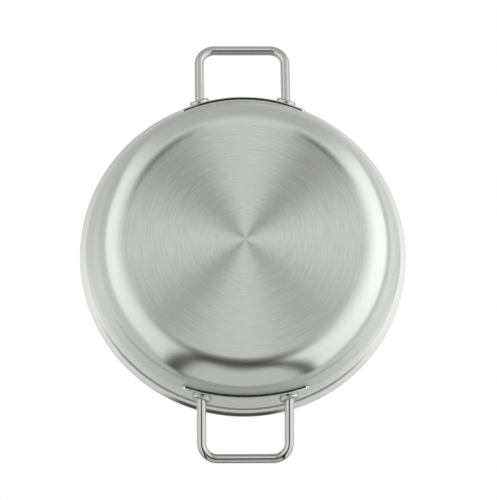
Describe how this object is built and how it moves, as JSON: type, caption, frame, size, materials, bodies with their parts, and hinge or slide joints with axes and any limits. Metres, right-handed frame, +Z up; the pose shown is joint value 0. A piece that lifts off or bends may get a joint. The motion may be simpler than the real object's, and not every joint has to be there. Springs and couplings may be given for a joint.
{
  "type": "serving pan",
  "caption": "Round stainless serving pan with a flat brushed base, rounded corner, flared pouring lip and a bent-rod loop handle welded to each side.",
  "frame": {"origin": "centre of the base's underside, on the pan's axis", "axes": "+Z up along the pan's axis, towards the open rim; X through both handles"},
  "size_m": [0.3648, 0.28, 0.065],
  "materials": {
    "brushed_steel": "concentric brushing on the base, satin on the wall, polished lip",
    "lining_steel": "satin",
    "polished_steel": "mirror polish",
    "core_aluminium": "bare cut edge"
  },
  "bodies": {
    "root": {"outer_ply": "brushed_steel", "core_ply": "core_aluminium", "inner_ply": "lining_steel", "right_mount_plate": "polished_steel", "left_mount_plate": "polished_steel", "right_handle_rod": "polished_steel", "left_handle_rod": "polished_steel", "right_front_collar": "polished_steel", "right_rear_collar": "polished_steel", "left_front_collar": "polished_steel", "left_rear_collar": "polished_steel"}
  },
  "joints": []
}
